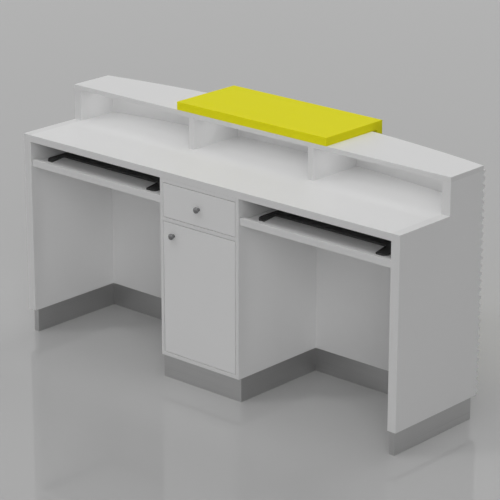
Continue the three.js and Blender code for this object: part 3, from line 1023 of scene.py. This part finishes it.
def build_knob(node):
    """A turned knob: rosette, flared stem and a domed head."""
    low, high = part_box(node)
    reach = high.y - low.y
    radius = (high.x - low.x) / 2
    centre = Vector(((low.x + high.x) / 2, high.y, (low.z + high.z) / 2))
    head = reach - KNOB_HEAD
    rim = reach - KNOB_DOME
    profile = [(out * MM, height * MM) for out, height in ROSETTE]
    profile.append((KNOB_STEM, STEM_START))
    profile += [(KNOB_STEM + past * MM, head - short * MM) for past, short in FLARE]
    profile += [(radius - short * MM, head + past * MM) for short, past in SHOULDER]
    aside, back = (KNOB_EDGE * share for share in KNOB_BEND)
    profile += [(radius, rim - KNOB_EDGE), (radius - aside, rim - back)]
    for step in range(DOME_STEPS + 1):
        share = 1 - step / DOME_STEPS
        profile.append(((radius - KNOB_EDGE) * share, reach - (reach - rim) * share**2))
    shape = new_shape()
    turn(shape, profile, centre, -Y_AXIS, KNOB_SIDES)
    mark_sharp(shape)
    place_node(shape, node, "turned")


CUP_WING = 24 * MM  # cup's middle to each screw
CUP_PLATE = 1.2 * MM
CUP_EDGE = 0.35 * MM
CUP_PIN = (1.8 * MM, 8 * MM)  # radius and half length
CUP_PIN_RISE = 0.55  # of the cup's depth
CUP_FLANGE = ((0, 0), (0.6, 0.4), (3, 0.5))  # short of the cup's radius, and above its plate, mm
CUP_RING = ((3.4, 0.5), (4, 0), (5, 0), (5.6, 0.6))  # short of the cup's radius, and below its top, mm
CUP_BOWL = 6.4 * MM  # short of the cup's radius
BOWL_FLOOR = (0.5, 0.4)  # height at the bowl's edge and middle, of the plate's thickness
CUP_TIP = (8 * MM, 5 * MM)  # wing's half width at its end, and that end past the screw
CUP_WAIST = (13 * MM, 12 * MM)  # half width and half length of the plate round the cup


def build_hinge_cup(node):
    """A pressed hinge cup: flange with two screw wings, raised ring, dished bowl and the link pin."""
    low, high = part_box(node)
    radius = (high.x - low.x) / 2
    depth = high.y - low.y
    centre = Vector(((low.x + high.x) / 2, low.y, (low.z + high.z) / 2))
    shape = new_shape()
    tip, end = CUP_TIP[0], CUP_WING + CUP_TIP[1]
    waist, step = CUP_WAIST
    wing = [(-tip, -end), (tip, -end), (waist, -step), (waist, step), (tip, end)]
    wing += [(-tip, end), (-waist, step), (-waist, -step)]
    outline = [centre + Vector((x, 0, z)) for x, z in wing]
    draw_out(shape, outline, Y_AXIS * CUP_PLATE)
    round_edges(shape, sharp_edges(shape), CUP_EDGE, 2)
    profile = [(0, 0), (radius, 0)]
    profile += [(radius - short * MM, CUP_PLATE + above * MM) for short, above in CUP_FLANGE]
    profile += [(radius - short * MM, depth - below * MM) for short, below in CUP_RING]
    edge, middle = (CUP_PLATE * share for share in BOWL_FLOOR)
    profile += [(radius - CUP_BOWL, edge), (0, middle)]
    turn(shape, profile, centre, Y_AXIS)
    thick, half = CUP_PIN
    pin = [(0, -half), (thick, -half), (thick, half), (0, half)]
    turn(shape, pin, centre + Y_AXIS * (depth * CUP_PIN_RISE), Z_AXIS, 16)
    mark_sharp(shape)
    place_node(shape, node)


ARM_FOOT = 2 * MM
ARM_WING = (34 * MM, 48 * MM)  # where the screw wings start and end, from the arm's front
ARM_WING_HALF = 20 * MM
ARM_PLATE = (26 * MM, 58 * MM)  # where the plate starts and ends
ARM_PLATE_HALF = 7 * MM
ARM_SIDE = ((0, 0), (0, 5.5), (6, 8), (50, 8), (57, 5), (57, 0))  # from the front, and off the plate, mm
ARM_HALF = 6 * MM
ARM_EDGE = 0.6 * MM
ARM_CAM = ((0, 0), (3.6, 0), (3.6, 0.5), (3, 0.8), (0, 0.8))  # radius and height, mm
ARM_CAM_PLACE = 20 * MM


def build_hinge_arm(node):
    """A pressed hinge arm on a winged mounting plate."""
    low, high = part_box(node)
    middle = (low.z + high.z) / 2
    foot = high.x - ARM_FOOT
    shape = new_shape()
    front, rear = ARM_PLATE
    plate = [(front, -ARM_PLATE_HALF)]
    plate += [(ARM_WING[0], -half) for half in (ARM_PLATE_HALF, ARM_WING_HALF)]
    plate += [(ARM_WING[1], -half) for half in (ARM_WING_HALF, ARM_PLATE_HALF)]
    plate.append((rear, -ARM_PLATE_HALF))
    plate += [(y, -z) for y, z in reversed(plate)]
    outline = [Vector((foot, low.y + y, middle + z)) for y, z in plate]
    draw_out(shape, outline, X_AXIS * ARM_FOOT)
    outline = [Vector((foot - x * MM, low.y + y * MM, middle - ARM_HALF)) for y, x in ARM_SIDE]
    draw_out(shape, outline, Z_AXIS * (2 * ARM_HALF))
    round_edges(shape, sharp_edges(shape), ARM_EDGE, 2)
    cam = [(out * MM, height * MM) for out, height in ARM_CAM]
    turn(shape, cam, Vector((low.x, low.y + ARM_CAM_PLACE, middle)), -X_AXIS, 24)
    mark_sharp(shape)
    place_node(shape, node)


ARC_STEPS = 16
SAME_POINT = 0.05 * MM
MITRE_LIMIT = 0.3  # least cosine used where an outline turns sharply


def arc(centre, radius, start, end):
    """Points along an arc, its angles in quarter turns."""
    steps = [start + (end - start) * i / ARC_STEPS for i in range(ARC_STEPS + 1)]
    angles = [step * math.pi / 2 for step in steps]
    return [(centre[0] + radius * math.cos(a), centre[1] + radius * math.sin(a)) for a in angles]


def bend(before, corner, after, reach):
    """A curve that cuts a corner, from one of its sides to the other."""
    start = corner + (before - corner).normalized() * reach
    end = corner + (after - corner).normalized() * reach
    steps = [i / ARC_STEPS for i in range(ARC_STEPS + 1)]
    return [start.lerp(corner, t).lerp(corner.lerp(end, t), t) for t in steps]


def insert_outline(low, high, sizes):
    """The insert seen from above: a band at the back and two leaning limbs."""
    corner, end, reach = sizes.insert_corner, sizes.insert_right_corner, sizes.insert_notch_corner
    notch_back = low.y + sizes.insert_limb_length
    left_tip = Vector((low.x + sizes.insert_left_tip, low.y))
    left_root = Vector((low.x + sizes.insert_left_root, notch_back))
    right_root = Vector((high.x - sizes.insert_right_root, notch_back))
    right_tip = Vector((high.x - sizes.insert_right_tip, low.y))
    outline = [left_tip]
    outline += bend(left_tip, left_root, right_root, reach)
    outline += bend(left_root, right_root, right_tip, reach)
    outline += [right_tip]
    outline += arc((high.x - end, low.y + end), end, -1, 0)
    outline += arc((high.x - corner, high.y - corner), corner, 0, 1)
    outline += arc((low.x + corner, high.y - corner), corner, 1, 2)
    outline += arc((low.x + corner, low.y + corner), corner, 2, 3)
    return outline


def inward(outline, distance):
    """An outline that runs anticlockwise, moved inwards."""
    moved = []
    for i, point in enumerate(outline):
        here = Vector(point)
        before = (here - Vector(outline[i - 1])).normalized()
        after = (Vector(outline[(i + 1) % len(outline)]) - here).normalized()
        first, second = Vector((-before.y, before.x)), Vector((-after.y, after.x))
        middle = (first + second).normalized()
        moved.append(here + middle * (distance / max(MITRE_LIMIT, middle.dot(first))))
    return moved


def tidy_outline(outline):
    """An outline without points that repeat."""
    kept = []
    for point in outline:
        if not kept or (Vector(point) - Vector(kept[-1])).length > SAME_POINT:
            kept.append(point)
    return kept


# inset and height of the rim's section, mm, from the outer foot to the sunk face
INSERT_RIM = ((0, 0), (0, 6.6), (0.3, 7.5), (1.1, 8), (2.2, 8), (3, 7.6), (3.4, 6.8), (3.9, 5.2))
RUBBED_AND_HIGHLIGHT_RINGS = (2, 3, 4)  # stretches of the section painted paler: wear from hands and a painted highlight
BEAD_INSET = 14 * MM
BEAD_HALF = 1.6 * MM
BEAD_RISE = 1.5 * MM
BEAD_CROWN = 0.7  # a face is painted paler, as wear and a painted highlight, if its normal rises more than this
# across and up, in shares of the bead's half width and rise
BEAD_SECTION = ((-1.0, -0.2), (-0.85, 0.55), (-0.4, 0.95), (0.4, 0.95), (0.85, 0.55), (1.0, -0.2))


def build_insert(node, sizes):
    """A moulded insert: raised rim all round, sunk face, and a bead that follows its outer edge."""
    low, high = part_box(node)
    scale = (high.z - low.z) / (max(rise for _, rise in INSERT_RIM) * MM)
    outline = tidy_outline(insert_outline(low, high, sizes))
    shape = new_shape()
    rim = shape.faces.layers.float["rim"]
    rings = []
    for inset, rise in INSERT_RIM:
        ring = inward(outline, inset * MM) if inset else [Vector(point) for point in outline]
        rings.append([shape.verts.new((p.x, p.y, low.z + rise * MM * scale)) for p in ring])
    for level, (lower, upper) in enumerate(zip(rings, rings[1:])):
        for face in bridge(shape, lower, upper):
            face.smooth = True
            # the rim's top rings are painted paler: wear and a painted highlight
            face[rim] = float(level in RUBBED_AND_HIGHLIGHT_RINGS)
    shape.faces.new(list(reversed(rings[0])))
    shape.faces.new(rings[-1])
    floor = low.z + INSERT_RIM[-1][1] * MM * scale
    add_bead(shape, bead_path(low, high, BEAD_INSET, sizes), floor, rim)
    mark_sharp(shape)
    place_node(shape, node, "moulded")


def bead_path(low, high, inset, sizes):
    """A line along the insert's left, back and right sides, at one distance from its edge."""
    corner = sizes.insert_corner
    radius = corner - inset
    front = low.y + corner + inset
    path = [(high.x - inset, front)]
    path += arc((high.x - corner, high.y - corner), radius, 0, 1)
    path += arc((low.x + corner, high.y - corner), radius, 1, 2)
    path += [(low.x + inset, front)]
    return tidy_outline(path)


def add_bead(shape, path, floor, rim):
    """A half-round bead along a path, a little sunk in the floor below it."""
    rings = []
    for i, point in enumerate(path):
        here = Vector(point)
        way = Vector(path[min(i + 1, len(path) - 1)]) - Vector(path[max(i - 1, 0)])
        across = Vector((-way.y, way.x)).normalized()
        ring = []
        for side, rise in BEAD_SECTION:
            spot = here + across * (side * BEAD_HALF)
            ring.append(shape.verts.new((spot.x, spot.y, floor + rise * BEAD_RISE)))
        rings.append(ring)
    faces = [shape.faces.new(rings[0]), shape.faces.new(rings[-1])]
    for lower, upper in zip(rings, rings[1:]):
        faces += bridge(shape, lower, upper)
    bmesh.ops.recalc_face_normals(shape, faces=faces)
    for face in faces:
        face.smooth = True
        # upward-facing crown faces are painted paler: wear and a painted highlight
        face[rim] = float(face.normal.z > BEAD_CROWN)


STOP_GAP = 0.5 * MM
STOP_DROP = 0.4 * MM  # rail's upper face to the stop's


def build_stop(side, sizes):
    """A slim strip between the insert's limbs, behind the tray's rail, that keeps a keyboard in place."""
    shelf_low, shelf_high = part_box(f"tray_shelf_{side}")
    low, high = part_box(f"tray_insert_{side}")
    front = shelf_low.y + sizes.tray_rail + STOP_GAP
    start = Vector((low.x + sizes.insert_left_tip, front, low.z))
    end = Vector((high.x - sizes.insert_right_tip, front + sizes.stop_depth, shelf_high.z - STOP_DROP))
    shape = new_shape()
    add_block(shape, start, end)
    round_edges(shape, sharp_edges(shape), sizes.board_edge)
    # the whole stop counts as narrow faces, so it takes their painted shade
    edging = shape.faces.layers.float["edging"]
    for face in shape.faces:
        face[edging] = 1.0
    name = f"tray_stop_{side}"
    place_piece(name, mesh_of(shape, name, "white_laminate"), f"tray_{side}", "white_laminate")


CHANNEL_SHARES = (0.1, 0.5, 0.9)
BATTEN_SHARES = (0.15, 0.85)
SMALL_SCREW = 2 * MM
FLUSH = 0.4 * MM
HEAD = 1 * MM
CLEAT_HEAD = 1.4 * MM
ARM_SCREW_SPREAD = 14 * MM
ARM_SCREW_PLACE = 42 * MM


def along_box(low, high, x, z, shares=CHANNEL_SHARES):
    return [Vector((x, low.y + (high.y - low.y) * share, z)) for share in shares]


def slide_screws(kind, tail):
    """(place, facing) pairs of the screws in one drawer's or tray's channels, runners and cleats."""
    channels, runners, cleats = [], [], []
    for side, sign in SIDES.items():
        facing = -sign
        low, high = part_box(f"{kind}_channel{tail}_{side}")
        wall = (low.x if facing > 0 else high.x) + facing * CHANNEL_WALL
        middle = (low.z + high.z) / 2
        channels += [(spot, X_AXIS * facing) for spot in along_box(low, high, wall, middle)]
        runner = f"{kind}_runner{tail}_{side}"
        low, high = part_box(runner)
        face, back = runner_planes(runner, facing)[1:]
        runners += [(spot, X_AXIS * -facing) for spot in along_box(low, high, face, middle)]
        under = back + facing * CLEAT_REACH * CLEAT_SCREW
        spots = along_box(low, high, under, high.z - CLEAT_PLATE, CLEAT_SHARES)
        cleats += [(spot, -Z_AXIS) for spot in spots]
    return channels, runners, cleats


def wall_screws():
    """(place, facing) pairs of the screws in the hinge arms and the shelf's battens."""
    screws = []
    for place in ("upper", "lower"):
        low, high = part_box(f"hinge_arm_{place}")
        middle = (low.z + high.z) / 2
        wing = low.y + sum(ARM_WING) / 2
        for step in (-1, 1):
            spot = Vector((high.x - ARM_FOOT, wing, middle + step * ARM_SCREW_SPREAD))
            screws.append((spot, -X_AXIS))
        screws.append((Vector((low.x, low.y + ARM_SCREW_PLACE, middle)), -X_AXIS))
    for side, sign in SIDES.items():
        low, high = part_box(f"shelf_batten_{side}")
        inner = high.x if sign < 0 else low.x
        spots = along_box(low, high, inner, (low.z + high.z) / 2, BATTEN_SHARES)
        screws += [(spot, X_AXIS * -sign) for spot in spots]
    return screws


def cup_screws():
    """(place, facing) pairs of the screws in the hinge cups' wings."""
    screws = []
    for place in ("upper", "lower"):
        low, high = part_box(f"hinge_cup_{place}")
        centre = (low + high) / 2
        for step in (-1, 1):
            spot = Vector((centre.x, low.y + CUP_PLATE, centre.z + step * CUP_WING))
            screws.append((spot, Y_AXIS))
    return screws


def screw_groups(sizes):
    """Name, body, head radius, head height and (place, facing) pairs of each group of screws."""
    large = sizes.screw_radius
    drawer_channels, runners, _ = slide_screws("drawer", "")
    groups = [("drawer_runner_screws", "drawer", large, HEAD, runners)]
    tray_channels = []
    for side in SIDES:
        channels, runners, cleats = slide_screws("tray", f"_{side}")
        tray_channels += channels
        body = f"tray_{side}"
        groups.append((f"{body}_runner_screws", body, SMALL_SCREW, HEAD, runners))
        groups.append((f"{body}_cleat_screws", body, large, CLEAT_HEAD, cleats))
    groups.append(("drawer_channel_screws", "carcass", large, FLUSH, drawer_channels))
    groups.append(("tray_channel_screws", "carcass", SMALL_SCREW, FLUSH, tray_channels))
    groups.append(("hinge_and_batten_screws", "carcass", large, HEAD, wall_screws()))
    groups.append(("hinge_cup_screws", "door", large, HEAD, cup_screws()))
    return groups


FLOOR_RADIUS = 60
FLOOR_STEPS = 64


def build_floor():
    """A round floor wide enough to fill the camera's view."""
    shape = new_shape()
    bmesh.ops.create_circle(shape, cap_ends=True, radius=FLOOR_RADIUS, segments=FLOOR_STEPS)
    link("floor", mesh_of(shape, "floor", "pale_floor"))


def add_lamp(name, energy, disc, azimuth, elevation):
    """A distant soft lamp, placed by its angles seen from the desk; azimuth counts from the staff side.

    The glossy floor doesn't mirror it, as it shows the backdrop alone.
    """
    lamp = bpy.data.lights.new(name, "SUN")
    lamp.energy = energy
    lamp.angle = math.radians(disc)
    made = link(name, lamp)
    made.rotation_euler = (math.radians(90 - elevation), 0, math.radians(azimuth))
    made.visible_glossy = False


STRIP_SIZE = (1.9, 0.12)
STRIP_PLACE = (0, COUNTER_LOW.y + 124 * MM, COUNTER_LOW.z - 4 * MM)
KNEE_SIZE = (0.64, 0.5)
KNEE_HEIGHT = 0.43
KNEE_DEPTH = 30 * MM


def add_near_lamp(name, place, size, tilt, watts):
    """A soft lamp close to the desk, unseen by the camera; tilt turns it up from facing down."""
    lamp = bpy.data.lights.new(name, "AREA")
    lamp.shape = "RECTANGLE"
    lamp.size, lamp.size_y = size
    lamp.energy = watts * lamp.size * lamp.size_y
    made = link(name, lamp)
    made.location = place
    made.rotation_euler = (tilt, 0, 0)
    made.visible_camera = False
    made.visible_glossy = False


CANOPY_STOPS = ((0.84, 0), (0.98, 1))  # sine of the height where the ceiling starts, and is full
# disc, azimuth and elevation of the distant lamps, degrees
LAMPS = {
    "overhead": (60, -5, 80),
    "corner": (28, 42, 30),
    "low": (28, 42, 9),
    "left": (10, -40, 42),
    "rear": (28, 180, 50),
}


def build_lights(scene):
    """Even light, a ceiling for metal to mirror, five lamps round the desk and three close to it."""
    stage = scene.desk_stage
    world = bpy.data.worlds.new("studio")
    world.use_nodes = True
    scene.world = world
    nodes = NodeTree(world.node_tree)
    nodes.tree.nodes.clear()
    seen = nodes.add("ShaderNodeLightPath", {}, {}, "Is Camera Ray")
    ways = seen.socket.node.outputs
    rays = seen + Value(nodes, ways["Is Glossy Ray"]) + Value(nodes, ways["Is Transmission Ray"])
    direction = nodes.add("ShaderNodeTexCoord", {}, {}, "Generated")
    height = nodes.add("ShaderNodeSeparateXYZ", {}, {0: direction}, 2)
    ceiling = nodes.add("ShaderNodeValToRGB", {"stops": CANOPY_STOPS}, {"Fac": height})
    light = nodes.add("ShaderNodeBackground", {}, {"Color": (1, 1, 1, 1), "Strength": stage.sky_light})
    shade = ceiling * stage.canopy + stage.backdrop
    grey = nodes.add("ShaderNodeBackground", {}, {"Color": (1, 1, 1, 1), "Strength": shade})
    shown = nodes.add("ShaderNodeMixShader", {}, {0: rays, 1: light, 2: grey})
    nodes.add("ShaderNodeOutputWorld", {}, {"Surface": shown})
    for name, angles in LAMPS.items():
        add_lamp(f"{name}_lamp", getattr(stage, name), *angles)
    add_near_lamp("counter_strip", STRIP_PLACE, STRIP_SIZE, 0, stage.strip)
    for side in SIDES:
        low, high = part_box(f"tray_shelf_{side}")
        place = ((low.x + high.x) / 2, WORKTOP_FRONT + KNEE_DEPTH, KNEE_HEIGHT)
        add_near_lamp(f"knee_lamp_{side}", place, KNEE_SIZE, math.pi / 2, stage.knee)


SENSOR_WIDTH = 36
VIEW_LIMIT = 200


def build_camera(scene):
    """The camera at the photograph's viewing angle."""
    stage = scene.desk_stage
    lens = bpy.data.cameras.new("camera")
    lens.lens = stage.lens
    lens.sensor_width = SENSOR_WIDTH
    lens.clip_end = VIEW_LIMIT
    camera = link("camera", lens)
    camera.location = stage.eye
    camera.rotation_euler = (math.pi / 2 - stage.elevation, 0, stage.azimuth)
    scene.camera = camera


class DESK_PT_dressing(bpy.types.Panel):
    """Lists the desk's pieces, its sizes and its colours"""

    bl_label = "Reception Desk"
    bl_idname = "DESK_PT_dressing"
    bl_space_type = "VIEW_3D"
    bl_region_type = "UI"
    bl_category = "Reception Desk"

    def draw(self, context):
        for step in STEPS:
            self.layout.operator(step.bl_idname)
        for group in (context.scene.desk_sizes, context.scene.desk_colours, context.scene.desk_stage):
            box = self.layout.box()
            for name in group.__annotations__:
                box.prop(group, name)


STEPS = (
    DESK_OT_stage,
    DESK_OT_shell,
    DESK_OT_wave_panels,
    DESK_OT_accent,
    DESK_OT_plinth,
    DESK_OT_cabinet,
    DESK_OT_drawer,
    DESK_OT_door,
    DESK_OT_knobs,
    DESK_OT_trays,
    DESK_OT_slides,
    DESK_OT_screws,
)
GROUPS = {"desk_sizes": DeskSizes, "desk_colours": DeskColours, "desk_stage": StageSettings}


def register():
    for group in (*GROUPS.values(), *STEPS, DESK_PT_dressing):
        bpy.utils.register_class(group)
    for name, group in GROUPS.items():
        setattr(bpy.types.Scene, name, PointerProperty(type=group))


def unregister():
    for name in GROUPS:
        delattr(bpy.types.Scene, name)
    for group in (DESK_PT_dressing, *reversed(STEPS), *GROUPS.values()):
        bpy.utils.unregister_class(group)


def main():
    register()
    for step in STEPS:
        area, name = step.bl_idname.split(".")
        getattr(getattr(bpy.ops, area), name)()


if __name__ == "__main__":
    main()
